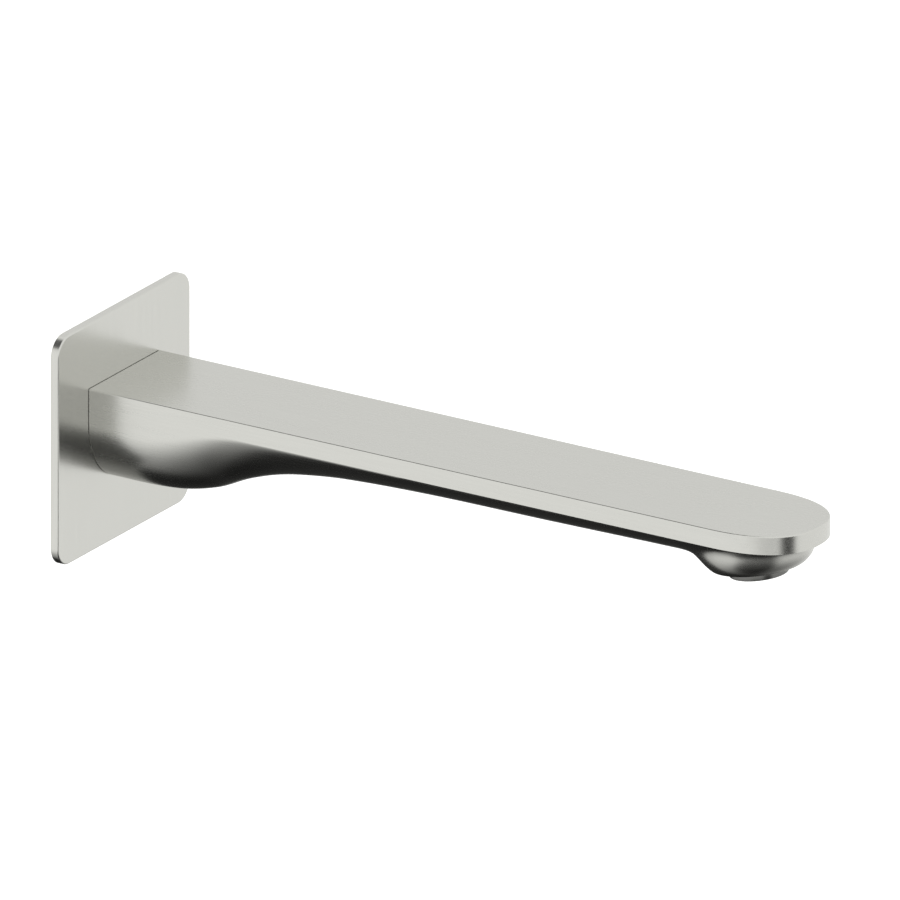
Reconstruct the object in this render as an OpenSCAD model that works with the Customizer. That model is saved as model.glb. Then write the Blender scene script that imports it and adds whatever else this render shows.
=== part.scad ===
// Fixed wall bath spout with a square cover plate, a slip-on G1/2 wall nipple and a screw-in aerator.
// Millimetres, +Z up. The wall is the plane Y = 0 and the spout points along -Y.
// The origin is on the inlet axis where it crosses the wall.

/* [Cover plate] */
// Side of the square cover plate
plate_side = 70; // [66:1:90]
// Thickness of the cover plate
plate_t = 2.7; // [2.4:0.1:4]
// Corner radius of the cover plate
plate_corner_r = 6; // [4:0.5:12]
// Width of the rim that rests on the wall, around the recess for the foam seal
plate_rim = 3; // [2:0.5:5]
// Depth of the recess in the back of the cover plate
recess_depth = 1.2; // [0.8:0.1:1.4]

/* [Spout] */
// Length of the casting from its back face to its tip
spout_length = 235.8; // [215:0.1:250]
// Half of the spout's width at the cover plate
root_half_width = 18.9; // [18:0.1:20]
// How much narrower each side is at the tip than at the cover plate
side_taper = 0.45; // [0:0.05:1]
// Height of the flat top above the inlet axis
top_z = 15.2; // [15:0.1:17]
// Thickness of the slab that shows as the straight side of the spout
slab_t = 5.6; // [5:0.1:6]
// Depth of the belly under the slab at the cover plate
belly_depth = 25.8; // [24.5:0.1:28]
// Length of the rounded tip, seen from above
tip_length = 26; // [20:1:32]
// Squareness of the rounded tip: 2 is an ellipse, more is squarer
tip_squareness = 2.4; // [2:0.1:3]

/* [Outlet] */
// Distance from the wall to the middle of the outlet's lower rim
outlet_y = 217.9; // [214:0.1:218]
// Height of the middle of the outlet's lower rim
outlet_z = -0.1; // [-0.5:0.1:0.2]
// Lean of the outlet, so that the water leaves away from the wall
outlet_tilt = 8; // [6:1:9]
// Radius of the outlet boss at its lower rim
boss_r = 13.7; // [12.5:0.1:14]
// Radius gained by the boss per millimetre of height
boss_flare = 0.85; // [0.4:0.01:0.9]

/* [Wall connection] */
// Length of the wall thread behind the wall face
wall_thread_length = 15; // [12:0.5:18]
// Radius of the spigot that the spout slides over
spigot_r = 9.5; // [9.3:0.1:9.6]
// Distance from the wall to the free end of the spigot
spigot_end = 34; // [32:0.5:35]
// Radius of the water passage through the nipple
nipple_bore_r = 6.2; // [5.5:0.1:6.2]
// Width of the nipple's hexagon across its flats
hex_flats = 22; // [21:0.5:22]

/* [Grub screw] */
// Distance from the wall to the grub screw
grub_y = 13.2; // [13:0.1:13.4]
// Radius of the M6 grub screw
grub_r = 2.95; // [2.9:0.01:2.97]
// Length of the grub screw
grub_length = 6; // [5:0.5:6]

/* [Aerator] */
// Radius of the aerator's M18.5 thread over its crests
aerator_thread_r = 9.25; // [9.22:0.01:9.27]
// Radius of the nose ring that shows under the outlet
nose_r = 8.65; // [8.4:0.05:8.8]
// How far the nose ring stands out of the outlet
nose_out = 2.9; // [2.6:0.1:3.2]
// Distance between neighbouring cells of the honeycomb
cell_pitch = 2.05; // [2:0.05:2.3]
// Width of one honeycomb cell across its flats
cell_flats = 1.7; // [1.5:0.05:1.8]

/* [Hidden] */
$fn = 96;

nickel = [0.74, 0.74, 0.72];
brass = [0.80, 0.66, 0.36];
steel = [0.62, 0.63, 0.65];
black_rubber = [0.10, 0.10, 0.11];
foam = [0.25, 0.25, 0.27];
fibre = [0.55, 0.24, 0.16];
dark_plastic = [0.16, 0.17, 0.18];
white_plastic = [0.88, 0.89, 0.90];
blue_plastic = [0.25, 0.42, 0.68];
nylon = [0.90, 0.88, 0.80];

// Overshoot that lets a cutter pass right through a face
cut = 1;
// Radius of the standard G1/2 wall thread over its crests, which isn't free to change
wall_thread_r = 10.478;
// Thickness of the rubber gasket between the spout and the cover plate, and how far in it stops
root_gasket_t = 0.2;
root_gasket_inset = 0.3;
spout_back_y = plate_t + root_gasket_t;
slab_bottom_z = top_z - slab_t;

// Belly depth along the spout: [part of the length, part of the depth at the cover plate]
keel = [
    [0, 1], [0.093, 0.984], [0.144, 0.884], [0.186, 0.71], [0.229, 0.578], [0.271, 0.497],
    [0.339, 0.419], [0.466, 0.365], [0.636, 0.35], [0.826, 0.325], [0.875, 0.33], [0.93, 0.1],
    [0.97, 0.05], [1, 0.02]
];
// Straight wall that continues the slab's side downwards at the cover plate, and where it has gone
root_wall = 5.7;
root_wall_start = 10;
root_wall_end = 55;
// Power of the belly's arch: 0.5 is an ellipse, more meets the slab at a sharper crease
arch_root = 0.5;
arch_mid = 0.85;
arch_start = 10;
arch_end = 70;
arch_steps = 16;
root_step = 5;
root_end = 90;
mid_steps = 10;
tip_steps = 14;
tip_last_angle = 88.5;

plate_hole_r = 13.5;
gasket_hole_r = 15;
seal_gap = 0.3;
bush_r = 13.45;
bush_bore_r = 12.95;
bush_lip_r = 14.5;
bush_lip_t = 0.7;

washer_t = 1.5;
washer_r = 12.6;
washer_bore_r = 10.3;
thread_relief_r = 10.2;
collar_end = 6;
collar_recess_r = 13.2;
collar_recess_end = 6.6;
hex_r = hex_flats / sqrt(3);
socket_r = 9.6;
socket_end = 36;
grub_groove_r = 8.45;
grub_groove_half = 2.5;
ring_groove_r = 7.7;
ring_groove_half = 1.3;
ring_section_r = 0.93;
ring_mean_r = 8.65;
rear_ring_y = 20.5;
front_ring_y = 26.5;
chamfer = 0.8;

grub_hole_r = 3;
grub_tip_r = 2.2;
grub_tip_top = 8.5;
grub_tip_bottom = 9.7;
grub_top = 9.75;
grub_socket_r = 1.73;
grub_socket_depth = 3;

// Waterway: a round rise from the socket into a flat passage under the top. The ball at the bend is
// a little wider than the rise, so that the two surfaces cross instead of only touching.
rise_r = 4.8;
bend_r = 5.1;
rise_from = [0, -33, 0.5];
rise_to = [0, -84, 8.2];
flat_half_height = 2.6;
flat_half_gap = 5.4;
flat_z = 10;
flat_start = 80;
flat_end = 214;
chamber_r = 7.2;
chamber_floor = 7.2;
chamber_top = 12.2;
outlet_bore_r = 9.3;
boss_inset = 1.2;
boss_height = 12;

// Heights in the aerator, along the outlet's axis from the boss's lower rim
thread_start = 0.25;
housing_top = 5.95;
housing_bore_r = 7.9;
lip_r = 7.3;
lip_t = 0.6;
// Two notches in the inner edge of the lip take a flat key
notch_w = 1.6;
notch_depth = 0.8;
aerator_washer_bore_r = 7.4;
aerator_washer_r = 9.2;
aerator_washer_low = 6;
aerator_washer_high = 7.15;
cage_r = 7.85;
cage_bore_r = 6.95;
cage_low = -2.25;
cage_high = 3.6;
window_count = 8;
window_low = 1.9;
window_high = 3;
window_w = 2.4;
disc_r = 6.85;
former_low = -2.2;
former_high = -0.2;
former_rings = 3;
grid_t = 0.5;
grid_low = 0.2;
grid_gap = 0.9;
grid_bar = 0.4;
grid_pitch = 1.6;
grid_bars_each_side = 4;
jet_low = 3.65;
jet_high = 4.65;
jet_count = 18;
jet_ring_r = 5.2;
jet_hole_r = 0.4;
seat_r = 7;
seat_low = 4.7;
seat_floor = 5.1;
seat_high = 6.3;
seat_channel_r = 4.9;
seat_post_r = 2.55;
seat_post_high = 7;
seat_port_count = 6;
seat_port_r = 0.6;
regulator_mean_r = 3.7;
regulator_section_r = 0.95;
screen_r = 6.5;
screen_wall = 0.5;
screen_flange_r = 7.1;
screen_low = 6.35;
screen_flange_high = 6.9;
screen_high = 9;
screen_pitch = 1.3;
screen_hole = 0.8;
screen_rings = 4;
grid_reach = 5;

function clamp01(t) = max(0, min(1, t));
// Eased step from 0 to 1 with no corner at either end
function ease(t) = let (c = clamp01(t)) c * c * c * (c * (6 * c - 15) + 10);

// Cubic through a list of [place, value] pairs, with slopes taken from the neighbours
function key_index(keys, p) = len([for (k = keys) if (k[0] <= p) 1]) - 1;
function key_slope(keys, i) =
    i == 0 ? 0 :
    i == len(keys) - 1 ? (keys[i][1] - keys[i - 1][1]) / (keys[i][0] - keys[i - 1][0]) :
    (keys[i + 1][1] - keys[i - 1][1]) / (keys[i + 1][0] - keys[i - 1][0]);
function curve_at(keys, p) =
    let (i = min(key_index(keys, p), len(keys) - 2))
    let (h = keys[i + 1][0] - keys[i][0])
    let (t = (p - keys[i][0]) / h)
    (2 * pow(t, 3) - 3 * pow(t, 2) + 1) * keys[i][1]
    + (pow(t, 3) - 2 * pow(t, 2) + t) * h * key_slope(keys, i)
    + (3 * pow(t, 2) - 2 * pow(t, 3)) * keys[i + 1][1]
    + (pow(t, 3) - pow(t, 2)) * h * key_slope(keys, i + 1);

// How far the rounded tip has closed at a distance s along the casting: 1 is open, 0 is the end
function tip_closing(s) =
    let (u = clamp01((s - spout_length + tip_length) / tip_length))
    pow(1 - pow(u, tip_squareness), 1 / tip_squareness);
function side_half_width(s) = root_half_width - side_taper * s / spout_length;
function half_width(s) = side_half_width(s) * tip_closing(s);
function keel_depth(s) = belly_depth * curve_at(keel, s / spout_length) * tip_closing(s);
function straight_wall(s) =
    root_wall * (1 - ease((s - root_wall_start) / (root_wall_end - root_wall_start)));
function arch_power(s) =
    arch_root + (arch_mid - arch_root) * ease((s - arch_start) / (arch_end - arch_start));

// Cross-section of the spout at a distance s along it, as [x, z] points, drawn in by inset all round
function section(s, inset = 0) =
    let (w = half_width(s) - inset)
    let (wall = straight_wall(s))
    let (depth = keel_depth(s) - inset)
    concat(
        [[w, top_z - inset], [-w, top_z - inset]],
        [for (i = [0 : arch_steps])
            let (a = 180 * i / arch_steps)
            [-w * cos(a), slab_bottom_z - wall - (depth - wall) * pow(pow(sin(a), 2), arch_power(s))]]
    );

stations = concat(
    [for (s = [0 : root_step : root_end]) s],
    [for (i = [1 : mid_steps])
        root_end + (spout_length - tip_length - root_end) * i / mid_steps],
    [for (i = [1 : tip_steps])
        spout_length - tip_length + tip_length * sin(tip_last_angle * i / tip_steps)]
);

// Plan of the tip, drawn in by inset, from a distance start along the casting
function tip_plan(start, inset) =
    let (ends = concat([start], [for (s = stations) if (s > start) s]))
    concat(
        [for (s = ends) plan_point(s, inset)],
        [for (i = [len(ends) - 1 : -1 : 0])
            let (p = plan_point(ends[i], inset))
            [-p[0], p[1]]]
    );
// The inset turns from the sides to the end as the tip closes
function plan_point(s, inset) =
    let (side = tip_closing(s))
    [half_width(s) - inset * side, -spout_back_y - s + inset * (1 - side)];

// Solid skin over a list of rings that all have the same number of points
module skin_over(rings) {
    n = len(rings[0]);
    count = len(rings);
    polyhedron(
        points = [for (r = rings) each r],
        faces = concat(
            [[for (j = [0 : n - 1]) j]],
            [for (i = [0 : count - 2], j = [0 : n - 1])
                each [
                    [i * n + j, (i + 1) * n + j, i * n + (j + 1) % n],
                    [i * n + (j + 1) % n, (i + 1) * n + j, (i + 1) * n + (j + 1) % n]
                ]],
            [[for (j = [n - 1 : -1 : 0]) (count - 1) * n + j]]
        )
    );
}

// Straight rod along the inlet axis between two distances from the wall
module rod(near, far, r, z = 0, x = 0) {
    translate([x, -near, z]) rotate([90, 0, 0]) cylinder(h = far - near, r = r);
}

// Moves a shape drawn on the Z axis to the leaning outlet axis, with Z = 0 at the boss's lower rim
module at_outlet() {
    translate([0, -outlet_y, outlet_z]) rotate([-outlet_tilt, 0, 0]) children();
}

// Flat square with round corners, in the XY plane
module rounded_square(side, r) {
    square([side - 2 * r, side], center = true);
    square([side, side - 2 * r], center = true);
    for (x = [-1, 1], y = [-1, 1]) {
        translate([x * (side / 2 - r), y * (side / 2 - r)]) circle(r = r);
    }
}

// Panel parallel to the wall between two distances from it
module panel(near, far) {
    translate([0, -near, 0]) rotate([90, 0, 0]) linear_extrude(height = far - near) children();
}

// Ring or disc on the outlet axis between two heights
module outlet_disc(low, high, r) {
    translate([0, 0, low]) cylinder(h = high - low, r = r);
}

module outlet_ring(low, high, r, bore_r) {
    difference() {
        outlet_disc(low, high, r);
        outlet_disc(low - cut, high + cut, bore_r);
    }
}

module o_ring(mean_r, section_r) {
    rotate_extrude() translate([mean_r, 0]) circle(r = section_r, $fn = 32);
}

module casting() {
    skin_over([for (s = stations) [for (p = section(s)) [p[0], -spout_back_y - s, p[1]]]]);
}

module outlet_boss() {
    intersection() {
        at_outlet() cylinder(h = boss_height, r1 = boss_r, r2 = boss_r + boss_flare * boss_height);
        translate([0, 0, outlet_z - boss_r])
            linear_extrude(height = slab_bottom_z + slab_t / 2 - outlet_z + boss_r)
                polygon(tip_plan(spout_length - 2 * tip_length, boss_inset));
    }
}

module inlet_socket() {
    rod(spout_back_y - cut, socket_end, socket_r);
    rod(spout_back_y - cut, collar_recess_end, collar_recess_r);
}

module waterway() {
    run = norm(rise_to - rise_from);
    climb = asin((rise_to[2] - rise_from[2]) / run);
    translate(rise_from) rotate([90 - climb, 0, 0]) cylinder(h = run, r = rise_r);
    translate(rise_to) sphere(r = bend_r);
    for (x = [-flat_half_gap, flat_half_gap]) {
        rod(flat_start, flat_end, flat_half_height, flat_z, x);
    }
    translate([-flat_half_gap, -flat_end, flat_z - flat_half_height])
        cube([2 * flat_half_gap, flat_end - flat_start, 2 * flat_half_height]);
    at_outlet() outlet_disc(chamber_floor - cut, chamber_top, chamber_r);
}

module outlet_bore() {
    at_outlet() outlet_disc(-cut, chamber_floor, outlet_bore_r);
}

module grub_hole() {
    translate([0, -grub_y, slab_bottom_z - belly_depth - cut])
        cylinder(h = belly_depth - slab_bottom_z + cut - socket_r + cut, r = grub_hole_r);
}

module spout_body() {
    color(nickel) difference() {
        union() {
            casting();
            outlet_boss();
        }
        inlet_socket();
        waterway();
        outlet_bore();
        grub_hole();
    }
}

module wall_plate() {
    color(nickel) difference() {
        panel(0, plate_t) rounded_square(plate_side, plate_corner_r);
        panel(-cut, recess_depth)
            rounded_square(plate_side - 2 * plate_rim, plate_corner_r - plate_rim / 2);
        rod(-cut, plate_t + cut, plate_hole_r);
    }
}

module wall_gasket() {
    color(foam) difference() {
        panel(0, recess_depth)
            rounded_square(plate_side - 2 * plate_rim - 2 * seal_gap, plate_corner_r - plate_rim / 2);
        rod(-cut, recess_depth + cut, gasket_hole_r);
    }
}

module plate_bush() {
    color(dark_plastic) difference() {
        union() {
            rod(recess_depth - bush_lip_t, plate_t, bush_r);
            rod(recess_depth - bush_lip_t, recess_depth, bush_lip_r);
        }
        rod(-cut, plate_t + cut, bush_bore_r);
    }
}

module root_gasket() {
    color(black_rubber) difference() {
        panel(plate_t, spout_back_y) polygon(section(0, root_gasket_inset));
        rod(plate_t - cut, spout_back_y + cut, plate_hole_r);
    }
}

module connection_nipple() {
    color(brass) difference() {
        union() {
            rod(-wall_thread_length, 0, wall_thread_r);
            rod(0, washer_t, thread_relief_r);
            translate([0, -washer_t, 0]) rotate([90, 0, 0])
                cylinder(h = collar_end - washer_t, r = hex_r, $fn = 6);
            rod(collar_end, spigot_end - chamfer, spigot_r);
            translate([0, chamfer - spigot_end, 0]) rotate([90, 0, 0])
                cylinder(h = chamfer, r1 = spigot_r, r2 = spigot_r - chamfer);
        }
        rod(-wall_thread_length - cut, spigot_end + cut, nipple_bore_r);
        nipple_groove(grub_y, grub_groove_half, grub_groove_r);
        nipple_groove(rear_ring_y, ring_groove_half, ring_groove_r);
        nipple_groove(front_ring_y, ring_groove_half, ring_groove_r);
    }
}

module nipple_groove(middle, half, floor_r) {
    difference() {
        rod(middle - half, middle + half, spigot_r + cut);
        rod(middle - half - cut, middle + half + cut, floor_r);
    }
}

module inlet_washer() {
    color(fibre) difference() {
        rod(0, washer_t, washer_r);
        rod(-cut, washer_t + cut, washer_bore_r);
    }
}

module spigot_o_ring(place) {
    color(black_rubber) translate([0, -place, 0]) rotate([90, 0, 0])
        o_ring(ring_mean_r, ring_section_r);
}

module spigot_o_ring_rear() {
    spigot_o_ring(rear_ring_y);
}

module spigot_o_ring_front() {
    spigot_o_ring(front_ring_y);
}

module grub_screw() {
    low = -grub_top - grub_length;
    color(steel) translate([0, -grub_y, 0]) difference() {
        translate([0, 0, low]) cylinder(h = grub_length, r = grub_r);
        translate([0, 0, low - cut]) cylinder(h = grub_socket_depth + cut, r = grub_socket_r, $fn = 6);
    }
}

module grub_tip() {
    color(nylon) translate([0, -grub_y, -grub_tip_bottom])
        cylinder(h = grub_tip_bottom - grub_tip_top, r = grub_tip_r);
}

module aerator_washer() {
    color(black_rubber) at_outlet()
        outlet_ring(aerator_washer_low, aerator_washer_high, aerator_washer_r, aerator_washer_bore_r);
}

module aerator_housing() {
    color(nickel) at_outlet() difference() {
        union() {
            outlet_disc(-nose_out, thread_start, nose_r);
            outlet_disc(thread_start, housing_top, aerator_thread_r);
        }
        outlet_disc(lip_t - nose_out, housing_top + cut, housing_bore_r);
        outlet_disc(-nose_out - cut, housing_top, lip_r);
        for (side = [-1, 1]) {
            translate([side * lip_r, 0, -nose_out])
                cube([2 * notch_depth, notch_w, 2 * lip_t], center = true);
        }
    }
}

module aerator_cage() {
    color(white_plastic) at_outlet() difference() {
        outlet_ring(cage_low, cage_high, cage_r, cage_bore_r);
        for (i = [0 : window_count - 1]) {
            rotate([0, 0, 360 * i / window_count]) translate([cage_bore_r - cut, -window_w / 2, window_low])
                cube([cage_r, window_w, window_high - window_low]);
        }
    }
}

module stream_former() {
    color(white_plastic) at_outlet() difference() {
        outlet_disc(former_low, former_high, disc_r);
        for (row = [-former_rings : former_rings], col = [-former_rings : former_rings]) {
            x = cell_pitch * (col + row / 2);
            y = cell_pitch * row * sqrt(3) / 2;
            if (abs(col + row) <= former_rings) {
                translate([x, y, former_low - cut]) rotate([0, 0, 30])
                    cylinder(h = former_high - former_low + 2 * cut, r = cell_flats / sqrt(3), $fn = 6);
            }
        }
    }
}

module splitter_grid(low, turn) {
    color(steel) at_outlet() rotate([0, 0, turn]) {
        outlet_ring(low, low + grid_t, disc_r, disc_r - 2 * grid_bar);
        intersection() {
            outlet_disc(low, low + grid_t, disc_r - grid_bar);
            union() {
                for (i = [-grid_bars_each_side : grid_bars_each_side]) {
                    edge = i * grid_pitch - grid_bar / 2;
                    translate([edge, -disc_r, low]) cube([grid_bar, 2 * disc_r, grid_t]);
                    translate([-disc_r, edge, low]) cube([2 * disc_r, grid_bar, grid_t]);
                }
            }
        }
    }
}

module splitter_grid_lower() {
    splitter_grid(grid_low, 0);
}

module splitter_grid_upper() {
    splitter_grid(grid_low + grid_gap, 45);
}

module jet_plate() {
    color(blue_plastic) at_outlet() difference() {
        outlet_disc(jet_low, jet_high, cage_r);
        for (i = [0 : jet_count - 1]) {
            rotate([0, 0, 360 * i / jet_count]) translate([jet_ring_r, 0, jet_low - cut])
                cylinder(h = jet_high - jet_low + 2 * cut, r = jet_hole_r, $fn = 16);
        }
    }
}

module regulator_seat() {
    color(blue_plastic) at_outlet() difference() {
        union() {
            outlet_ring(seat_low, seat_high, seat_r, seat_channel_r);
            outlet_disc(seat_low, seat_floor, seat_channel_r + cut / 2);
            outlet_disc(seat_low, seat_post_high, seat_post_r);
        }
        for (i = [0 : seat_port_count - 1]) {
            rotate([0, 0, 360 * i / seat_port_count]) translate([regulator_mean_r, 0, seat_low - cut])
                cylinder(h = seat_floor - seat_low + 2 * cut, r = seat_port_r, $fn = 24);
        }
    }
}

module regulator_ring() {
    color(black_rubber) at_outlet() translate([0, 0, seat_floor + regulator_section_r])
        o_ring(regulator_mean_r, regulator_section_r);
}

module inlet_screen() {
    color(white_plastic) at_outlet() difference() {
        union() {
            outlet_disc(screen_low, screen_high, screen_r);
            outlet_disc(screen_low, screen_flange_high, screen_flange_r);
        }
        outlet_disc(screen_low - cut, screen_high - screen_wall, screen_r - screen_wall);
        for (i = [-screen_rings : screen_rings], j = [-screen_rings : screen_rings]) {
            if (norm([i, j]) * screen_pitch < grid_reach) {
                translate([i * screen_pitch, j * screen_pitch, screen_high])
                    cube([screen_hole, screen_hole, 4 * screen_wall], center = true);
            }
        }
    }
}

spout_body();
wall_plate();
wall_gasket();
plate_bush();
root_gasket();
connection_nipple();
inlet_washer();
spigot_o_ring_rear();
spigot_o_ring_front();
grub_screw();
grub_tip();
aerator_washer();
aerator_housing();
aerator_cage();
stream_former();
splitter_grid_lower();
splitter_grid_upper();
jet_plate();
regulator_seat();
regulator_ring();
inlet_screen();
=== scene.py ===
import math

import bmesh
import bpy
import numpy as np
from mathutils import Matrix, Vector


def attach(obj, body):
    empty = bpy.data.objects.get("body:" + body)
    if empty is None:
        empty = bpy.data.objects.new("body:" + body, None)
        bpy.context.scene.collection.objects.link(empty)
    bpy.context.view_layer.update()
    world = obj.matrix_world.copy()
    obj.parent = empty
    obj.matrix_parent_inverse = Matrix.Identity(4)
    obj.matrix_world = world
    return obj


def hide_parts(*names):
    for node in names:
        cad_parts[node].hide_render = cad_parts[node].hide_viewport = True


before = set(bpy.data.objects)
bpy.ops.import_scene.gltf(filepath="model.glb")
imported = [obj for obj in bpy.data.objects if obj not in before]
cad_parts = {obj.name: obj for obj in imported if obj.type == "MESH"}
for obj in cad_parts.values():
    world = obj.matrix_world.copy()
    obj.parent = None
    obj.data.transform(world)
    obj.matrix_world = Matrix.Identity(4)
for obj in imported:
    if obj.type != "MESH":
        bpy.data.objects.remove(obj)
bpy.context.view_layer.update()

MM = 0.001

# ---------------------------------------------------------------- shape of the spout, in millimetres
# The same numbers as the CAD model. S is the distance along the casting from its back face.
PLATE_SIDE = 70.0
PLATE_T = 2.7
PLATE_CORNER_R = 6.0
PLATE_RIM = 3.0
RECESS_DEPTH = 1.2
PLATE_HOLE_R = 13.5
SPOUT_BACK = 2.9
SPOUT_LENGTH = 235.79
ROOT_HALF_WIDTH = 18.9
SIDE_TAPER = 0.45
TOP_Z = 15.2
SLAB_T = 5.6
SLAB_BOTTOM_Z = TOP_Z - SLAB_T
BELLY_DEPTH = 25.8
TIP_LENGTH = 26.0
TIP_SQUARENESS = 2.4
KEEL_PLACE = (
    0, 0.093, 0.144, 0.186, 0.229, 0.271, 0.339, 0.466, 0.636, 0.826, 0.875, 0.93, 0.97, 1
)
KEEL_SHARE = (
    1, 0.984, 0.884, 0.71, 0.578, 0.497, 0.419, 0.365, 0.35, 0.325, 0.33, 0.1, 0.05, 0.02
)
OUTLET_Y = 217.9
OUTLET_Z = -0.1
OUTLET_TILT = math.radians(8)
BOSS_R = 13.7
GRUB_Y = 13.2
# Straight wall under the slab at the root, and the arch's power from the root outwards
ROOT_WALL, ROOT_WALL_START, ROOT_WALL_RUN = 5.7, 10, 45
ARCH_ROOT, ARCH_GAIN, ARCH_START, ARCH_RUN = 0.5, 0.35, 10, 60
OUTLET_BORE_R = 9.3
NOSE_R = 8.65

# Fine shape that only the visual model has
TOP_FILLET = 0.4
PLATE_FILLET = 0.45
SUPPORT = 0.04
BELLY_POINTS = 81
PATCH_START = 184.0
# The boss grows from its rim: quickly and then steeply beside and before it, as a flare to the wall
RIM_EDGE = 0.3
SIDE_GAIN, SIDE_RISE = 3.6, 3.0
TIP_GAIN, TIP_RISE = 4.6, 2.8
WALL_FLARE, WALL_CURVE = 0.85, 2.0
BOSS_RISE = 9.8
BOSS_HEIGHT = 13.5

# Camera and studio light, in degrees and metres
CAMERA_AZIMUTH = -57.39 - 90
CAMERA_ELEVATION = 20.75
CAMERA_AIM = (0, -0.1133, 0.0131)
CAMERA_DISTANCE = 0.6
CAMERA_WIDTH = 0.2574
# Each patch of the studio: azimuth, elevation, inner and outer radius, strength inside
STUDIO_PATCHES = (
    (125, 55, 12, 34, 0.10),
    (-112.6, -20, 8, 21, 0.02),
    (60, -50, 22, 34, 0.05),
    (32.6, 20.75, 14, 40, 0.87),
    (-150, -55, 20, 38, 0.15),
    (157, -17, 12, 45, 1.08),
)


def ease(t):
    c = np.clip(t, 0, 1)
    return c * c * c * (c * (6 * c - 15) + 10)


def keel_share(place):
    """Cubic through the keel's key places, with slopes taken from the neighbours."""
    x, y = np.array(KEEL_PLACE, float), np.array(KEEL_SHARE, float)
    slope = np.zeros(len(x))
    slope[1:-1] = (y[2:] - y[:-2]) / (x[2:] - x[:-2])
    slope[-1] = (y[-1] - y[-2]) / (x[-1] - x[-2])
    i = np.clip(np.searchsorted(x, place, side="right") - 1, 0, len(x) - 2)
    h = x[i + 1] - x[i]
    t = (place - x[i]) / h
    return (
        (2 * t**3 - 3 * t**2 + 1) * y[i]
        + (t**3 - 2 * t**2 + t) * h * slope[i]
        + (3 * t**2 - 2 * t**3) * y[i + 1]
        + (t**3 - t**2) * h * slope[i + 1]
    )


def tip_closing(s):
    u = np.clip((s - SPOUT_LENGTH + TIP_LENGTH) / TIP_LENGTH, 0, 1)
    return np.maximum(1 - u**TIP_SQUARENESS, 0) ** (1 / TIP_SQUARENESS)


def half_width(s):
    return (ROOT_HALF_WIDTH - SIDE_TAPER * s / SPOUT_LENGTH) * tip_closing(s)


def keel_depth(s):
    return BELLY_DEPTH * keel_share(s / SPOUT_LENGTH) * tip_closing(s)


def straight_wall(s):
    return ROOT_WALL * (1 - ease((s - ROOT_WALL_START) / ROOT_WALL_RUN))


def belly_z(x, s):
    """Height of the belly's surface under a point of the plan."""
    w = np.maximum(half_width(s), 1e-6)
    wall = straight_wall(s)
    power = ARCH_ROOT + ARCH_GAIN * ease((s - ARCH_START) / ARCH_RUN)
    open_share = np.clip(1 - (x / w) ** 2, 0, 1)
    return SLAB_BOTTOM_Z - wall - (keel_depth(s) - wall) * open_share**power


def resample(points, count):
    """The same number of points at even steps along a polyline."""
    step = np.linalg.norm(np.diff(points, axis=0), axis=1)
    run = np.concatenate([[0], np.cumsum(step)])
    at = np.linspace(0, run[-1], count)
    return np.stack([np.interp(at, run, points[:, k]) for k in range(points.shape[1])], axis=1)


def belly_section(s):
    """Belly from the slab's lower edge on the +X side to the one on the -X side."""
    w = float(half_width(s))
    a = np.linspace(0, math.pi, 721)
    x = w * np.cos(a)
    z = belly_z(x, s)
    line = np.stack([x, z], axis=1)
    line = np.concatenate([[[w, SLAB_BOTTOM_Z]], line, [[-w, SLAB_BOTTOM_Z]]])
    flat = resample(line, BELLY_POINTS)
    return np.stack([flat[:, 0], np.full(BELLY_POINTS, -SPOUT_BACK - s), flat[:, 1]], axis=1)


# ---------------------------------------------------------------- mesh helpers


class Shell:
    """Collects loops of points and the faces between them."""

    def __init__(self):
        self.points, self.faces = [], []

    def loop(self, points):
        first = len(self.points)
        self.points.extend([tuple(p) for p in points])
        return list(range(first, first + len(points)))

    def strip(self, a, b, closed=False):
        n = len(a)
        for i in range(n if closed else n - 1):
            j = (i + 1) % n
            self.faces.append((a[i], a[j], b[j], b[i]))

    def fill(self, loop):
        self.faces.append(tuple(loop))

    def fan(self, loop, point):
        centre = self.loop([point])[0]
        for i in range(len(loop)):
            self.faces.append((loop[i], loop[(i + 1) % len(loop)], centre))


def make_object(name, shell, merge=2e-6, sharp=30):
    mesh = bpy.data.meshes.new(name)
    mesh.from_pydata([[c * MM for c in p] for p in shell.points], [], shell.faces)
    work = bmesh.new()
    work.from_mesh(mesh)
    bmesh.ops.remove_doubles(work, verts=work.verts, dist=merge)
    bmesh.ops.dissolve_degenerate(work, edges=work.edges, dist=merge / 4)
    bmesh.ops.recalc_face_normals(work, faces=work.faces)
    work.to_mesh(mesh)
    work.free()
    obj = bpy.data.objects.new(name, mesh)
    bpy.context.scene.collection.objects.link(obj)
    shade(obj, sharp)
    return obj


def shade(obj, sharp=30):
    """Smooth faces, with a sharp edge wherever two faces meet at more than an angle in degrees."""
    work = bmesh.new()
    work.from_mesh(obj.data)
    for face in work.faces:
        face.smooth = True
    for edge in work.edges:
        edge.smooth = len(edge.link_faces) == 2 and edge.calc_face_angle(0) < math.radians(sharp)
    work.to_mesh(obj.data)
    work.free()


def carve(obj, cutters):
    """Cuts closed shapes out of a piece and removes them."""
    for cutter in cutters:
        cut = obj.modifiers.new("cut", "BOOLEAN")
        cut.operation = "DIFFERENCE"
        cut.solver = "EXACT"
        cut.object = cutter
    bpy.context.view_layer.update()
    solid = obj.evaluated_get(bpy.context.evaluated_depsgraph_get())
    mesh = bpy.data.meshes.new_from_object(solid)
    obj.modifiers.clear()
    obj.data = mesh
    for cutter in cutters:
        bpy.data.objects.remove(cutter)
    shade(obj)


def wall_place(r, turn, far):
    """Point on the inlet axis's own cylinder: radius, angle and distance in front of the wall."""
    return np.stack([r * np.cos(turn), np.zeros_like(turn) - far, r * np.sin(turn)], axis=1)


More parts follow.
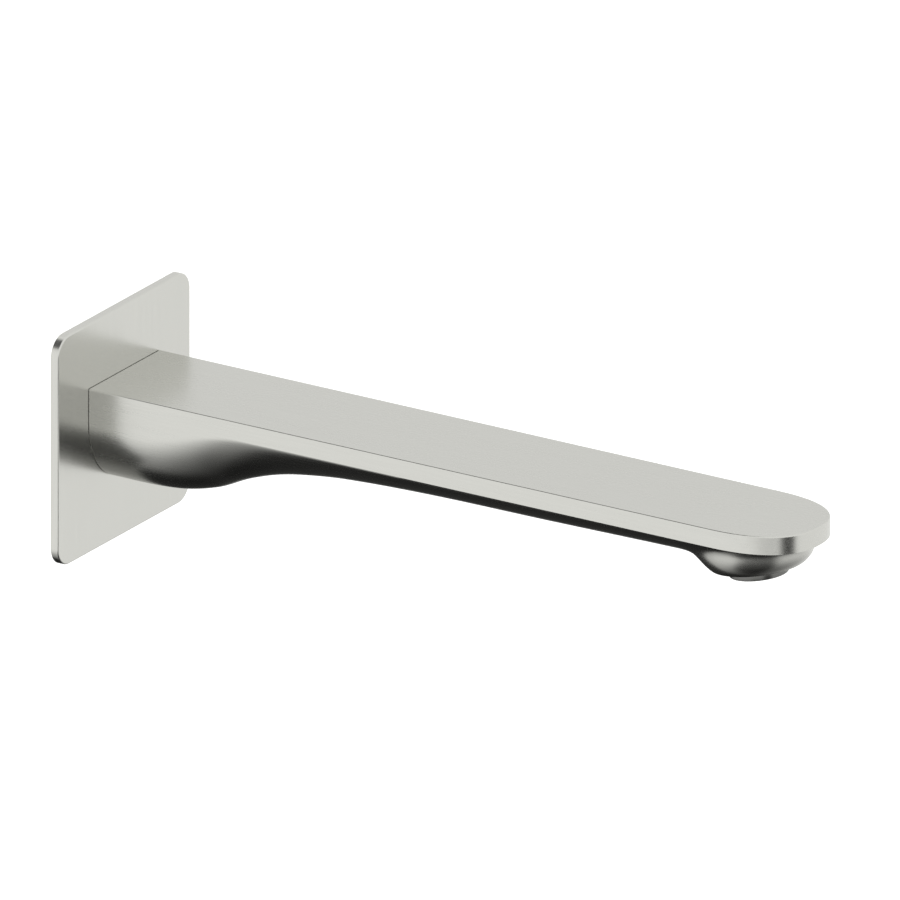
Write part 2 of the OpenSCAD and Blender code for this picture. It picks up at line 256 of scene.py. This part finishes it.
def outlet_point(x, y, h):
    """Point given on the leaning outlet axis, with h above the boss's lower rim."""
    c, s = math.cos(OUTLET_TILT), math.sin(OUTLET_TILT)
    x, y, h = np.broadcast_arrays(x, y, h)
    return np.stack([x, -OUTLET_Y + y * c + h * s, OUTLET_Z - y * s + h * c], axis=-1)


def outlet_place(r, turn, h):
    return outlet_point(r * np.cos(turn), r * np.sin(turn), h + np.zeros_like(turn))


def ring_shell(rings, place):
    """Closed ring-shaped solid from (radius, height) loops over the same angles."""
    shell = Shell()
    loops = [shell.loop(place(r, turn, h)) for r, turn, h in rings]
    for a, b in zip(loops, loops[1:] + loops[:1]):
        shell.strip(a, b, closed=True)
    return shell


def plug_shell(rings, place, low, high):
    """Closed solid from loops, with a point on the axis at each end."""
    shell = Shell()
    loops = [shell.loop(place(r, turn, h)) for r, turn, h in rings]
    for a, b in zip(loops, loops[1:]):
        shell.strip(a, b, closed=True)
    zero = np.zeros(1)
    shell.fan(loops[0], place(zero, zero, low)[0])
    shell.fan(loops[-1], place(zero, zero, high)[0])
    return shell


def turns(count=96):
    return np.linspace(0, 2 * math.pi, count, endpoint=False)


def thread_rings(start, end, crest, depth, pitch, turn, runout=0.8):
    """Loops of a right-handed screw thread that fades out at both ends."""
    rings = []
    steps = int(abs(end - start) / pitch * 8)
    for h in np.linspace(start, end, steps + 1):
        phase = (h / pitch - turn / (2 * math.pi)) % 1
        flank = np.clip(np.abs(phase - 0.5) * 2.6 - 0.65 + 0.15, 0, 1)
        near_end = min(abs(h - start), abs(h - end))
        full = min(1.0, near_end / runout)
        rings.append((crest - depth * full * (1 - flank), turn, h))
    return rings


# ---------------------------------------------------------------- spout


def station_list():
    root = np.arange(0, 90, 1.5)
    mid = np.linspace(90, PATCH_START, 40)
    patch = np.linspace(PATCH_START, SPOUT_LENGTH - TIP_LENGTH, 14)[1:]
    lean = np.linspace(0, math.pi / 2, 45)[1:]
    tip = SPOUT_LENGTH - TIP_LENGTH + TIP_LENGTH * np.sin(lean)
    return np.concatenate([root, mid, patch, tip])


def outline_normals(s):
    """Outward normal of the slab's outline on the +X side, in the plan."""
    step = 1e-3
    near, far = np.maximum(s - step, 0), np.minimum(s + step, SPOUT_LENGTH)
    dx = half_width(far) - half_width(near)
    normal = np.stack([far - near, dx], axis=1)
    normal /= np.linalg.norm(normal, axis=1)[:, None]
    normal[-1] = (0, -1)
    return normal


def slab_loops(stations):
    """Loops up the slab's side from its lower edge over the top fillet, from root to tip to root."""
    w = half_width(stations)
    w[-1] = 0
    normal = outline_normals(stations)
    side = np.stack([w, -SPOUT_BACK - stations], axis=1)
    plan = np.concatenate([side, side[-2::-1] * (-1, 1)])
    out = np.concatenate([normal, normal[-2::-1] * (-1, 1)])
    levels = [(0, SLAB_BOTTOM_Z), (0, SLAB_BOTTOM_Z + SUPPORT), (0, TOP_Z - TOP_FILLET - SUPPORT)]
    for k in range(6):
        a = math.pi / 2 * k / 5
        levels.append((TOP_FILLET * (1 - math.cos(a)), TOP_Z - TOP_FILLET * (1 - math.sin(a))))
    levels.append((TOP_FILLET + SUPPORT, TOP_Z))
    loops = []
    for inset, z in levels:
        moved = plan - out * inset
        moved[0, 1] = moved[-1, 1] = -SPOUT_BACK
        loops.append(np.concatenate([moved, np.full((len(moved), 1), z)], axis=1))
    return loops


def boss_curves(directions):
    """For each direction in the plan, the boss's flank as (distance from the outlet, height)."""
    dense = np.linspace(-math.pi, math.pi, 1441)
    heights = np.concatenate([[0, 0.03, 0.1, 0.2], np.linspace(RIM_EDGE, BOSS_HEIGHT, 60)])
    curves = np.zeros((len(directions), len(heights), 2))
    for k, h in enumerate(heights):
        drawn_in = RIM_EDGE - math.sqrt(max(RIM_EDGE**2 - max(RIM_EDGE - h, 0) ** 2, 0))
        a = BOSS_R + SIDE_GAIN * (1 - math.exp(-h / SIDE_RISE)) - drawn_in
        to_tip = TIP_GAIN * (1 - math.exp(-h / TIP_RISE))
        to_wall = WALL_FLARE * h + WALL_CURVE * (h / BOSS_RISE) ** 2
        growth = np.where(np.sin(dense) < 0, to_tip, to_wall)
        b = BOSS_R + 0.06 + growth - drawn_in
        ring = outlet_point(a * np.cos(dense), b * np.sin(dense), h)
        heading = np.unwrap(np.arctan2(ring[:, 1] + OUTLET_Y, ring[:, 0]))
        reach = np.hypot(ring[:, 1] + OUTLET_Y, ring[:, 0])
        wanted = heading[0] + (directions - heading[0]) % (2 * math.pi)
        curves[:, k, 0] = np.interp(wanted, heading, reach)
        curves[:, k, 1] = np.interp(wanted, heading, ring[:, 2])
    return curves


def smoothed_profile(line, knee, count, spread=1.3, soft=0.9):
    """Evenly spaced points along a profile whose inner corner at the knee is rounded."""
    fine = resample(line, 400)
    run = np.linspace(0, np.linalg.norm(np.diff(line, axis=0), axis=1).sum(), 400)
    step = run[1]
    half = int(min(3 * spread / step, 180))
    weight = np.exp(-0.5 * (np.arange(-half, half + 1) * step / spread) ** 2)
    weight /= weight.sum()
    padded = np.concatenate([
        2 * fine[0] - fine[half:0:-1], fine, 2 * fine[-1] - fine[-2 : -half - 2 : -1]
    ])
    rounded = np.stack([np.convolve(padded[:, k], weight, "valid") for k in range(2)], axis=1)
    near = np.exp(-0.5 * ((run - knee) / (2.2 * spread)) ** 2)
    near *= ease(run / 2.0) * ease((run[-1] - run) / 1.5) * soft
    return resample(fine + (rounded - fine) * near[:, None], count)


def outlet_patch(border):
    """Loops from the boss's lower rim to the border, which lies on the slab's edge and the belly."""
    centre = np.array([0, -OUTLET_Y])
    to_border = border[:, :2] - centre
    reach = np.linalg.norm(to_border, axis=1)
    heading = np.arctan2(to_border[:, 1], to_border[:, 0])
    curves = boss_curves(heading)
    count = 34
    loops = np.zeros((count, len(border), 3))
    for j, end in enumerate(reach):
        way = to_border[j] / end
        d = np.linspace(0, end, 500)
        s = np.clip(-(centre[1] + d * way[1]) - SPOUT_BACK, 0, SPOUT_LENGTH - 1e-3)
        belly = belly_z(d * way[0], s)
        boss = curves[j]
        at_boss = np.interp(boss[:, 0], d, belly, right=SLAB_BOTTOM_Z)
        inside = (boss[:, 0] < end - 0.05) & (boss[:, 1] < np.minimum(at_boss, SLAB_BOTTOM_Z))
        last = int(np.argmin(inside)) if not inside.all() else len(inside)
        flank = boss[:last]
        rest = d > flank[-1, 0] + 0.02
        under = np.stack([d[rest], belly[rest]], axis=1)
        under = under[under[:, 1] > flank[-1, 1] - 1.0]
        line = np.concatenate([flank, under[:-1], [[end, border[j, 2]]]])
        knee = np.linalg.norm(np.diff(flank, axis=0), axis=1).sum()
        profile = smoothed_profile(line, knee, count)
        loops[:, j, 0] = centre[0] + way[0] * profile[:, 0]
        loops[:, j, 1] = centre[1] + way[1] * profile[:, 0]
        loops[:, j, 2] = profile[:, 1]
        loops[-1, j] = border[j]
    return loops


def spout_skin():
    shell = Shell()
    stations = station_list()
    slab = slab_loops(stations)
    rows = [shell.loop(points) for points in slab]
    for a, b in zip(rows, rows[1:]):
        shell.strip(a, b)
    count, n = len(stations), len(rows[0])
    top = rows[-1]
    for i in range(count - 2):
        shell.faces.append((top[i], top[i + 1], top[n - 2 - i], top[n - 1 - i]))
    shell.faces.append((top[count - 2], top[count - 1], top[count]))

    belly_stations = stations[stations <= PATCH_START + 1e-9]
    belly = [shell.loop(belly_section(s)) for s in belly_stations]
    for a, b in zip(belly, belly[1:]):
        shell.strip(a, b)

    first = len(belly_stations)
    edge = slab[0]
    border = np.concatenate([belly_section(PATCH_START)[::-1], edge[first : n - first]])
    loops = outlet_patch(border)
    patch = [shell.loop(points) for points in loops]
    for a, b in zip(patch, patch[1:]):
        shell.strip(a, b, closed=True)
    finish_outlet(shell, patch[0], loops[0])

    root = [row[0] for row in rows] + [row[-1] for row in rows[::-1]] + belly[0][::-1]
    shell.fill(root)
    return shell


def finish_outlet(shell, rim, rim_points):
    """The flat rim with a support loop at its edge, the bore and the chamber above it."""
    local = rim_points - (0, -OUTLET_Y, OUTLET_Z)
    c, s = math.cos(OUTLET_TILT), math.sin(OUTLET_TILT)
    across = local[:, 1] * c - local[:, 2] * s
    turn = np.arctan2(across, local[:, 0])
    support = shell.loop(outlet_place(np.hypot(across, local[:, 0]) - 2 * SUPPORT, turn, 0))
    shell.strip(rim, support, closed=True)
    profile = (
        (OUTLET_BORE_R + 0.3, 0), (OUTLET_BORE_R, 0.3), (OUTLET_BORE_R, 7.2), (7.2, 7.2),
        (7.2, 12.0),
    )
    last = support
    for r, h in profile:
        loop = shell.loop(outlet_place(r, turn, h))
        shell.strip(last, loop, closed=True)
        last = loop
    shell.fill(last)


def socket_cutter():
    turn = turns()
    outline = ((13.2, 2.1), (13.2, 6.6), (9.9, 6.6), (9.6, 6.9), (9.6, 36))
    rings = [(np.full(96, r), turn, far) for r, far in outline]
    return make_object("socket_cutter", plug_shell(rings, wall_place, 2.1, 36))


def waterway_cutter():
    """Round rise from the socket that flattens into the passage under the top."""
    turn = turns(48)
    stops = ((35.0, 0.7, 4.8, 4.8), (60, 4.5, 4.8, 4.8), (84, 8.4, 5.4, 4.2), (92, 9.8, 8, 2.6),
             (214, 10, 8, 2.6))
    shell = Shell()
    loops = []
    for far, z, half_x, half_z in stops:
        x = half_x * np.cos(turn)
        loops.append(shell.loop(np.stack([x, np.full(48, -far), z + half_z * np.sin(turn)], axis=1)))
    for a, b in zip(loops, loops[1:]):
        shell.strip(a, b, closed=True)
    shell.fill(loops[0])
    shell.fill(loops[-1])
    return make_object("waterway_cutter", shell)


def grub_place(r, turn, h):
    return np.stack([r * np.cos(turn), r * np.sin(turn) - GRUB_Y, h + np.zeros_like(turn)], axis=1)


def grub_hole_cutter():
    turn = turns(64)
    outline = ((3.6, -18.5), (3.6, -16.1), (3.0, -15.6), (3.0, -8.6))
    rings = [(np.full(64, r), turn, h) for r, h in outline]
    return make_object("grub_hole_cutter", plug_shell(rings, grub_place, -18.5, -8.6))


def build_spout():
    spout = make_object("spout_casting", spout_skin())
    carve(spout, [socket_cutter(), waterway_cutter(), grub_hole_cutter()])
    return spout


# ---------------------------------------------------------------- other pieces


def square_outline(side, corner_r, steps=14):
    """Square with round corners, always with the same number of points."""
    half = side / 2 - corner_r
    points = []
    for quarter, (cx, cz) in enumerate(((1, 1), (-1, 1), (-1, -1), (1, -1))):
        for a in np.linspace(0, math.pi / 2, steps) + quarter * math.pi / 2:
            points.append((cx * half + corner_r * math.cos(a), cz * half + corner_r * math.sin(a)))
    even = []
    for a, b in zip(points, points[1:] + points[:1]):
        even.append(a)
        if math.dist(a, b) > 5:
            for t in np.linspace(0, 1, 14)[1:-1]:
                even.append((a[0] + (b[0] - a[0]) * t, a[1] + (b[1] - a[1]) * t))
    return np.array(even)


def build_plate():
    """Cover plate: softened front edge, foam recess in the back and a hole for the collar."""
    outer = square_outline(PLATE_SIDE, PLATE_CORNER_R)
    angle = np.arctan2(outer[:, 1], outer[:, 0])
    recess = square_outline(PLATE_SIDE - 2 * PLATE_RIM, PLATE_CORNER_R - PLATE_RIM / 2)

    def inset(d):
        return square_outline(PLATE_SIDE - 2 * d, PLATE_CORNER_R - d)

    def circle(r):
        return np.stack([r * np.cos(angle), r * np.sin(angle)], axis=1)

    loops = [(recess, 0), (inset(0.2), 0), (outer, 0.2), (outer, PLATE_T - PLATE_FILLET - SUPPORT)]
    for k in range(6):
        a = math.pi / 2 * k / 5
        far = PLATE_T - PLATE_FILLET * (1 - math.sin(a))
        loops.append((inset(PLATE_FILLET * (1 - math.cos(a))), far))
    loops += [(inset(PLATE_FILLET + SUPPORT), PLATE_T), (circle(PLATE_HOLE_R + 0.2), PLATE_T)]
    loops += [(circle(PLATE_HOLE_R), PLATE_T - 0.2), (circle(PLATE_HOLE_R), RECESS_DEPTH)]
    loops += [(recess, RECESS_DEPTH)]
    shell = Shell()
    rows = [
        shell.loop(np.stack([p[:, 0], np.full(len(p), -far), p[:, 1]], axis=1)) for p, far in loops
    ]
    for a, b in zip(rows, rows[1:] + rows[:1]):
        shell.strip(a, b, closed=True)
    return make_object("cover_plate", shell)


def build_nipple():
    """G1/2 nipple: wall thread, hexagon, and the spigot with its grub groove and two ring grooves."""
    turn = turns()
    flat = 11.0
    hexagon = flat / np.cos((turn + math.pi / 6) % (math.pi / 3) - math.pi / 6)

    def plain(r, far):
        return (np.full(96, float(r)), turn, far)

    rings = [plain(6.6, -15), plain(9.3, -15), plain(9.6, -14.9)]
    rings += thread_rings(-14.6, -0.9, 10.478, 1.16, 1.814, turn)[1:]
    rings += [plain(10.2, -0.3), plain(10.2, 1.5)]
    for rise, far in ((0.0, 1.5), (0.7, 1.9), (1.5, 2.4), (1.5, 5.2), (0.7, 5.6), (0.0, 6.0)):
        rings.append((np.minimum(hexagon, 11.2 + rise), turn, far))
    rings += [plain(9.5, 6.0), plain(9.5, 10.7), plain(8.45, 10.7), plain(8.45, 15.7)]
    rings += [plain(9.5, 15.7)]
    for start in (19.2, 25.2):
        end = start + 2.6
        rings += [plain(9.5, start - 0.15), plain(9.35, start), plain(7.7, start), plain(7.7, end)]
        rings += [plain(9.35, end), plain(9.5, end + 0.15)]
    rings += [plain(9.5, 33.0), plain(9.42, 33.3), plain(8.7, 34), plain(6.6, 34), plain(6.2, 33.6)]
    rings += [plain(6.2, -14.6)]
    return make_object("threaded_nipple", ring_shell(rings, wall_place), sharp=26)


def build_housing():
    """Aerator housing: nose ring, M18.5 thread, and a lip with two key notches that holds the cage."""
    turn = turns(120)
    lip_r, notch_r, notch_half_width = 7.3, 8.1, 0.8
    notch_edge = math.asin(notch_half_width / 7.7)
    extra = []
    for middle in (0, math.pi):
        for side in (-1, 1):
            extra += [middle + side * (notch_edge - 0.004), middle + side * (notch_edge + 0.004)]
    turn = np.unique(np.round(np.concatenate([turn, np.array(extra) % (2 * math.pi)]), 7))
    off = np.abs((turn + math.pi / 2) % math.pi - math.pi / 2)
    lip = np.where(off < notch_edge, notch_r, lip_r)
    count = len(turn)

    def plain(r, h):
        return (np.full(count, float(r)), turn, h)

    low = -2.9
    rings = [(lip, turn, -2.3), (lip, turn, low + 0.12), (lip + 0.1, turn, low)]
    rings += [plain(NOSE_R - 0.3, low)]
    for k in range(1, 4):
        a = math.pi / 2 * k / 3
        rings.append(plain(NOSE_R - 0.25 + 0.25 * math.sin(a), low + 0.25 * (1 - math.cos(a))))
    rings += [plain(NOSE_R, -1.5), plain(NOSE_R, -0.5), plain(NOSE_R, 0.25)]
    rings += thread_rings(0.45, 5.6, 9.25, 0.58, 1.0, turn, 0.5)
    rings += [plain(8.7, 5.95), plain(8.1, 5.95), plain(7.9, 5.75), plain(7.9, -2.3)]
    return make_object("nose_ring", ring_shell(rings, outlet_place), sharp=26)


def build_grub():
    """M6 grub screw with a hexagon socket in its lower end."""
    turn = turns(72)
    hexagon = 1.5 / np.cos((turn + math.pi / 6) % (math.pi / 3) - math.pi / 6)

    def plain(r, h):
        return (np.full(72, float(r)), turn, h)

    rings = [plain(2.3, -9.75), plain(2.5, -9.95)]
    rings += thread_rings(-10.1, -15.4, 2.95, 0.55, 1.0, turn, 0.6)
    rings += [plain(2.35, -15.75), plain(1.95, -15.75)]
    rings += [(hexagon * 1.08, turn, -15.6), (hexagon, turn, -15.4), (hexagon, turn, -12.8)]
    shell = plug_shell(rings, grub_place, -9.75, -12.3)
    return make_object("socket_set_screw", shell, sharp=26)


# ---------------------------------------------------------------- materials


class Nodes:
    """Short helpers for one material's or world's node tree."""

    def __init__(self, tree):
        self.tree = tree

    def add(self, kind, **values):
        node = self.tree.nodes.new(kind)
        for name, value in values.items():
            setattr(node, name, value)
        return node

    def link(self, a, b):
        self.tree.links.new(a, b)

    def math(self, operation, a, b=0.0):
        node = self.add("ShaderNodeMath", operation=operation)
        for socket, value in zip(node.inputs, (a, b)):
            if isinstance(value, (int, float)):
                socket.default_value = value
            else:
                self.link(value, socket)
        return node.outputs[0]

    def spread(self, value, low, high, to_low, to_high, kind="SMOOTHERSTEP"):
        node = self.add("ShaderNodeMapRange", interpolation_type=kind)
        for name, number in zip(
            ("From Min", "From Max", "To Min", "To Max"), (low, high, to_low, to_high)
        ):
            node.inputs[name].default_value = number
        self.link(value, node.inputs["Value"])
        return node.outputs["Result"]

    def noise(self, vector, scale, detail=3.0, rough=0.55):
        node = self.add("ShaderNodeTexNoise")
        node.inputs["Scale"].default_value = scale
        node.inputs["Detail"].default_value = detail
        node.inputs["Roughness"].default_value = rough
        self.link(vector, node.inputs["Vector"])
        return node.outputs["Fac"]

    def stretch(self, vector, scale):
        node = self.add("ShaderNodeMapping")
        node.inputs["Scale"].default_value = scale
        self.link(vector, node.inputs["Vector"])
        return node.outputs["Vector"]

    def two_tone(self, value, dark, light):
        node = self.add("ShaderNodeMix", data_type="RGBA")
        node.inputs["A"].default_value = (*dark, 1)
        node.inputs["B"].default_value = (*light, 1)
        self.link(value, node.inputs["Factor"])
        return node.outputs["Result"]

    def bump(self, height, strength, distance):
        node = self.add("ShaderNodeBump")
        node.inputs["Strength"].default_value = strength
        node.inputs["Distance"].default_value = distance
        self.link(height, node.inputs["Height"])
        return node.outputs["Normal"]


def new_material(name, metallic, shine=0.5):
    material = bpy.data.materials.new(name)
    material.use_nodes = True
    tree = Nodes(material.node_tree)
    shader = material.node_tree.nodes["Principled BSDF"]
    shader.inputs["Metallic"].default_value = metallic
    shader.inputs["Specular IOR Level"].default_value = shine
    place = tree.add("ShaderNodeTexCoord").outputs["Object"]
    return material, tree, shader, place


def shades(colour, change):
    return [c * (1 - change) for c in colour], [min(c * (1 + change), 1) for c in colour]


def brushed_metal(name, colour, grain, rough, streak=0.03, tone=0.012):
    """Satin metal: long fine scratches along one direction change its gloss, tone and surface."""
    material, tree, shader, place = new_material(name, 1.0)
    coarse = tree.noise(tree.stretch(place, [g * 260 for g in grain]), 1.0, 2.0)
    fine = tree.noise(tree.stretch(place, [g * 1500 for g in grain]), 1.0, 4.0, 0.7)
    both = tree.math("ADD", tree.math("MULTIPLY", coarse, 0.2), tree.math("MULTIPLY", fine, 0.8))
    dark, light = shades(colour, tone)
    tree.link(tree.two_tone(tree.spread(both, 0.3, 0.7, 0, 1, "LINEAR"), dark, light),
              shader.inputs["Base Color"])
    tree.link(tree.spread(both, 0.3, 0.7, rough + streak, rough - streak, "LINEAR"),
              shader.inputs["Roughness"])
    tree.link(tree.bump(fine, 0.15, 0.00001), shader.inputs["Normal"])
    return material


def turned_metal(name, colour, rough, axis_point, axis, tone=0.05):
    """Metal turned on a lathe: fine rings round an axis."""
    material, tree, shader, place = new_material(name, 1.0)
    offset = tree.add("ShaderNodeVectorMath", operation="SUBTRACT")
    offset.inputs[1].default_value = axis_point
    tree.link(place, offset.inputs[0])
    along = tree.add("ShaderNodeVectorMath", operation="DOT_PRODUCT")
    along.inputs[1].default_value = axis
    tree.link(offset.outputs["Vector"], along.inputs[0])
    across = tree.add("ShaderNodeVectorMath", operation="CROSS_PRODUCT")
    across.inputs[1].default_value = axis
    tree.link(offset.outputs["Vector"], across.inputs[0])
    radius = tree.add("ShaderNodeVectorMath", operation="LENGTH")
    tree.link(across.outputs["Vector"], radius.inputs[0])
    join = tree.add("ShaderNodeCombineXYZ")
    tree.link(radius.outputs["Value"], join.inputs["X"])
    tree.link(along.outputs["Value"], join.inputs["Y"])
    rings = tree.noise(join.outputs["Vector"], 5200, 3.0, 0.6)
    cloud = tree.noise(place, 160, 3.0)
    mixed = tree.math("ADD", tree.math("MULTIPLY", rings, 0.6), tree.math("MULTIPLY", cloud, 0.4))
    dark, light = shades(colour, tone)
    tree.link(tree.two_tone(tree.spread(mixed, 0.3, 0.7, 0, 1, "LINEAR"), dark, light),
              shader.inputs["Base Color"])
    tree.link(tree.spread(rings, 0.3, 0.7, rough + 0.06, rough - 0.05, "LINEAR"),
              shader.inputs["Roughness"])
    tree.link(tree.bump(rings, 0.3, 0.00001), shader.inputs["Normal"])
    return material


def moulded(name, colour, rough, grain=900, tone=0.06, height=0.00002):
    """Moulded plastic or rubber with a fine grain and slightly uneven gloss."""
    material, tree, shader, place = new_material(name, 0.0, 0.4)
    cloud = tree.noise(place, grain / 6, 4.0)
    pores = tree.noise(place, grain * 3, 2.0)
    dark, light = shades(colour, tone)
    tree.link(tree.two_tone(tree.spread(cloud, 0.3, 0.7, 0, 1), dark, light),
              shader.inputs["Base Color"])
    tree.link(tree.spread(pores, 0.3, 0.7, rough + 0.08, rough - 0.08), shader.inputs["Roughness"])
    tree.link(tree.bump(pores, 0.4, height), shader.inputs["Normal"])
    return material


def cell_foam(name, colour):
    """Closed-cell foam: round cells cut open at the surface, with painted shade darkening the pit of
    each cell.
    """
    material, tree, shader, place = new_material(name, 0.0, 0.2)
    cells = tree.add("ShaderNodeTexVoronoi", feature="F1")
    cells.inputs["Scale"].default_value = 1800
    tree.link(place, cells.inputs["Vector"])
    # depth is the height across each cell, lowest at its centre: it sets the bump and the roughness,
    # and the colour as painted shade in the pits
    depth = tree.spread(cells.outputs["Distance"], 0.1, 0.6, 0, 1)
    dark, light = shades(colour, 0.35)
    # Painted shade: the pits of the cells are coloured darker than their rims
    tree.link(tree.two_tone(depth, dark, light), shader.inputs["Base Color"])
    tree.link(tree.spread(depth, 0, 1, 0.95, 0.8), shader.inputs["Roughness"])
    tree.link(tree.bump(depth, 0.8, 0.0001), shader.inputs["Normal"])
    return material


def pressed_fibre(name, colour):
    """Vulcanised fibre: short tangled strands."""
    material, tree, shader, place = new_material(name, 0.0, 0.3)
    strands = tree.noise(tree.stretch(place, (1400, 1400, 350)), 1.0, 5.0, 0.7)
    specks = tree.noise(place, 2600, 2.0)
    mixed = tree.math("ADD", tree.math("MULTIPLY", strands, 0.7), tree.math("MULTIPLY", specks, 0.3))
    dark, light = shades(colour, 0.3)
    tree.link(tree.two_tone(tree.spread(mixed, 0.35, 0.65, 0, 1), dark, light),
              shader.inputs["Base Color"])
    tree.link(tree.spread(mixed, 0.3, 0.7, 0.85, 0.65), shader.inputs["Roughness"])
    tree.link(tree.bump(mixed, 0.6, 0.00005), shader.inputs["Normal"])
    return material


NICKEL = (0.640, 0.640, 0.610)
RING_NICKEL = (0.17, 0.17, 0.165)
OUTLET_AXIS = (0, math.sin(OUTLET_TILT), math.cos(OUTLET_TILT))
OUTLET_POINT = (0, -OUTLET_Y * MM, OUTLET_Z * MM)

spout_nickel = brushed_metal("nickel_brushed_along", NICKEL, (1, 0.035, 1), 0.26)
plate_nickel = brushed_metal("nickel_brushed_upright", NICKEL, (1, 1, 0.035), 0.24)
ring_nickel = turned_metal("nickel_turned", RING_NICKEL, 0.28, OUTLET_POINT, OUTLET_AXIS)
brass = turned_metal("brass_turned", (0.78, 0.60, 0.30), 0.26, (0, 0, 0), (0, 1, 0))
screw_steel = turned_metal("steel_turned", (0.56, 0.57, 0.58), 0.3, (0, -GRUB_Y * MM, 0), (0, 0, 1))
grid_steel = brushed_metal("steel_wire", (0.56, 0.57, 0.58), (1, 1, 1), 0.32)
rubber = moulded("rubber_black", (0.022, 0.022, 0.024), 0.62)
pale_rubber = moulded("rubber_grey", (0.55, 0.55, 0.54), 0.6)
foam = cell_foam("foam_grey", (0.06, 0.06, 0.065))
fibre = pressed_fibre("fibre_red", (0.42, 0.12, 0.07))
black_plastic = moulded("plastic_black", (0.035, 0.036, 0.04), 0.42)
white_plastic = moulded("plastic_white", (0.78, 0.79, 0.80), 0.35, tone=0.025)
blue_plastic = moulded("plastic_blue", (0.10, 0.22, 0.50), 0.35)
nylon = moulded("nylon_natural", (0.80, 0.76, 0.64), 0.4, tone=0.03)


def place_piece(obj, body, node, material):
    obj.data.materials.clear()
    obj.data.materials.append(material)
    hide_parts(node)
    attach(obj, body)


def finish_node(node, material):
    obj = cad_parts[node]
    obj.data.materials.clear()
    obj.data.materials.append(material)


place_piece(build_spout(), "spout", "spout_body", spout_nickel)
place_piece(build_plate(), "spout", "wall_plate", plate_nickel)
place_piece(build_nipple(), "spout", "connection_nipple", brass)
place_piece(build_housing(), "outlet_insert", "aerator_housing", ring_nickel)
place_piece(build_grub(), "grub", "grub_screw", screw_steel)

for cad_node, finish in (
    ("wall_gasket", foam), ("plate_bush", black_plastic), ("root_gasket", pale_rubber),
    ("inlet_washer", fibre), ("spigot_o_ring_rear", rubber), ("spigot_o_ring_front", rubber),
    ("grub_tip", nylon), ("aerator_washer", rubber), ("aerator_cage", white_plastic),
    ("stream_former", white_plastic), ("splitter_grid_lower", grid_steel),
    ("splitter_grid_upper", grid_steel), ("jet_plate", blue_plastic),
    ("regulator_seat", blue_plastic), ("regulator_ring", rubber), ("inlet_screen", white_plastic),
):
    finish_node(cad_node, finish)


# ---------------------------------------------------------------- floor, light and camera


def build_floor():
    """Pale studio floor, far below the spout."""
    shell = Shell()
    side = np.linspace(-6000, 6000, 25)
    rows = [shell.loop([(x, y, -600) for x in side]) for y in side]
    for a, b in zip(rows, rows[1:]):
        shell.strip(a, b)
    floor = make_object("studio_floor", shell)
    material, tree, shader, place = new_material("floor_pale", 0.0, 0.0)
    tone = tree.noise(place, 3, 3.0)
    tree.link(tree.two_tone(tone, (0.90, 0.90, 0.90), (0.92, 0.92, 0.92)), shader.inputs["Base Color"])
    shader.inputs["Roughness"].default_value = 0.9
    shader.inputs["Emission Color"].default_value = (1, 1, 1, 1)
    shader.inputs["Emission Strength"].default_value = 0.5
    floor.data.materials.append(material)
    floor.visible_glossy = False


def heading(azimuth, elevation):
    a, e = math.radians(azimuth), math.radians(elevation)
    return (math.cos(e) * math.cos(a), math.cos(e) * math.sin(a), math.sin(e))


def build_studio():
    """Soft light all round that fades downwards, times the strength of each studio patch."""
    world = bpy.data.worlds.new("studio")
    bpy.context.scene.world = world
    world.use_nodes = True
    tree = Nodes(world.node_tree)
    world.node_tree.nodes.clear()
    direction = tree.add("ShaderNodeTexCoord").outputs["Generated"]
    parts = tree.add("ShaderNodeSeparateXYZ")
    tree.link(direction, parts.inputs[0])

    def lobe(azimuth, elevation, inner, outer, inside):
        dot = tree.add("ShaderNodeVectorMath", operation="DOT_PRODUCT")
        dot.inputs[1].default_value = heading(azimuth, elevation)
        tree.link(direction, dot.inputs[0])
        low, high = math.cos(math.radians(outer)), math.cos(math.radians(inner))
        return tree.spread(dot.outputs["Value"], low, high, 1.0, inside)

    level = tree.spread(parts.outputs["Z"], -1.0, -0.45, 0.03, 1.0, "LINEAR")
    for azimuth, elevation, inner, outer, inside in STUDIO_PATCHES:
        part = lobe(azimuth, elevation, inner, outer, inside)
        level = tree.math("MULTIPLY", level, part)
    background = tree.add("ShaderNodeBackground")
    tree.link(level, background.inputs["Strength"])
    background.inputs["Color"].default_value = (1.0, 1.0, 0.985, 1)
    plain = tree.add("ShaderNodeBackground")
    plain.inputs["Color"].default_value = (1, 1, 1, 1)
    mix = tree.add("ShaderNodeMixShader")
    tree.link(tree.add("ShaderNodeLightPath").outputs["Is Camera Ray"], mix.inputs["Fac"])
    tree.link(background.outputs[0], mix.inputs[1])
    tree.link(plain.outputs[0], mix.inputs[2])
    out = tree.add("ShaderNodeOutputWorld")
    tree.link(mix.outputs[0], out.inputs["Surface"])


def build_camera():
    """Orthographic camera, from the left of the tip and a little above."""
    data = bpy.data.cameras.new("camera")
    data.type = "ORTHO"
    data.ortho_scale = CAMERA_WIDTH
    camera = bpy.data.objects.new("camera", data)
    bpy.context.scene.collection.objects.link(camera)
    back = Vector(heading(CAMERA_AZIMUTH, CAMERA_ELEVATION))
    camera.location = Vector(CAMERA_AIM) + back * CAMERA_DISTANCE
    camera.rotation_euler = back.to_track_quat("Z", "Y").to_euler()
    bpy.context.scene.camera = camera


build_floor()
build_studio()
build_camera()
bpy.context.scene.view_settings.view_transform = "Standard"
